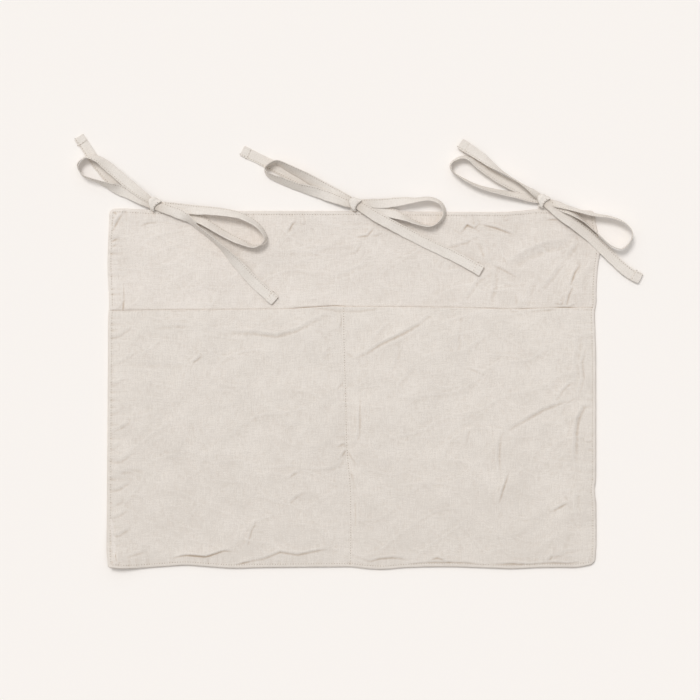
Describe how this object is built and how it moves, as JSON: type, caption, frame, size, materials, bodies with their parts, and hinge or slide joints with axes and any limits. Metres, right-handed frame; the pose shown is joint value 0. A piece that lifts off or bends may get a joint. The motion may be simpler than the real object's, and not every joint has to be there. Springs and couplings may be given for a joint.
{
  "type": "bedside caddy",
  "caption": "Flat linen bedside caddy whose doubled front cloth forms pockets side by side, with pairs of ties in bows along its top edge for hanging it from a bed rail.",
  "frame": {"origin": "middle of the flat back face, the underside of the back cloth", "axes": "+X along the top edge to the right as seen from the front, +Y towards the ties, +Z out of the front"},
  "size_m": [0.6415, 0.4905, 0.016],
  "materials": {
    "front_cloth": "plain-woven off-white linen with slubs, washed and softly creased",
    "pocket_cloth": "plain-woven off-white linen, doubled, with slubs and soft creases",
    "back_cloth": "plain-woven off-white linen with slubs",
    "ties": "narrow folded linen strap, stitched along one edge",
    "thread": "matte cotton sewing thread"
  },
  "bodies": {
    "root": {"back_cloth": "back_cloth", "front_cloth": "front_cloth", "pocket_border": "pocket_cloth", "band_stitching": "thread", "pocket_stitching": "thread", "divider_stitching": "thread", "left_tie_base": "ties", "middle_tie_base": "ties", "right_tie_base": "ties", "left_knot": "ties", "middle_knot": "ties", "right_knot": "ties"},
    "left_pocket": {"left_pocket_front": "pocket_cloth"},
    "right_pocket": {"right_pocket_front": "pocket_cloth"},
    "left_bow_upper": {"left_upper_loop": "ties", "left_upper_tail": "ties"},
    "left_bow_lower": {"left_lower_loop": "ties", "left_lower_tail": "ties"},
    "middle_bow_upper": {"middle_upper_loop": "ties", "middle_upper_tail": "ties"},
    "middle_bow_lower": {"middle_lower_loop": "ties", "middle_lower_tail": "ties"},
    "right_bow_upper": {"right_upper_loop": "ties", "right_upper_tail": "ties"},
    "right_bow_lower": {"right_lower_loop": "ties", "right_lower_tail": "ties"}
  },
  "joints": [
    {"name": "left_pocket_open", "type": "hinge", "parent": "root", "child": "left_pocket", "pos_m": [-0.1402, -0.197, 0.0042], "axis": [1, 0, 0], "range_deg": [0, 6]},
    {"name": "right_pocket_open", "type": "hinge", "parent": "root", "child": "right_pocket", "pos_m": [0.1338, -0.197, 0.0042], "axis": [1, 0, 0], "range_deg": [0, 6]},
    {"name": "left_bow_upper_lift", "type": "hinge", "parent": "root", "child": "left_bow_upper", "pos_m": [-0.22581, 0.21057, 0.0078], "axis": [0.515, 0.8572, 0], "range_deg": [0, 70]},
    {"name": "left_bow_lower_lift", "type": "hinge", "parent": "root", "child": "left_bow_lower", "pos_m": [-0.21759, 0.20563, 0.0078], "axis": [-0.515, -0.8572, 0], "range_deg": [0, 70]},
    {"name": "middle_bow_upper_lift", "type": "hinge", "parent": "root", "child": "middle_bow_upper", "pos_m": [-0.00025, 0.2099, 0.0078], "axis": [0.3746, 0.9272, 0], "range_deg": [0, 70]},
    {"name": "middle_bow_lower_lift", "type": "hinge", "parent": "root", "child": "middle_bow_lower", "pos_m": [0.00865, 0.2063, 0.0078], "axis": [-0.3746, -0.9272, 0], "range_deg": [0, 70]},
    {"name": "right_bow_upper_lift", "type": "hinge", "parent": "root", "child": "right_bow_upper", "pos_m": [0.21174, 0.2139, 0.0078], "axis": [0.5, 0.866, 0], "range_deg": [0, 70]},
    {"name": "right_bow_lower_lift", "type": "hinge", "parent": "root", "child": "right_bow_lower", "pos_m": [0.22006, 0.2091, 0.0078], "axis": [-0.5, -0.866, 0], "range_deg": [0, 70]}
  ]
}
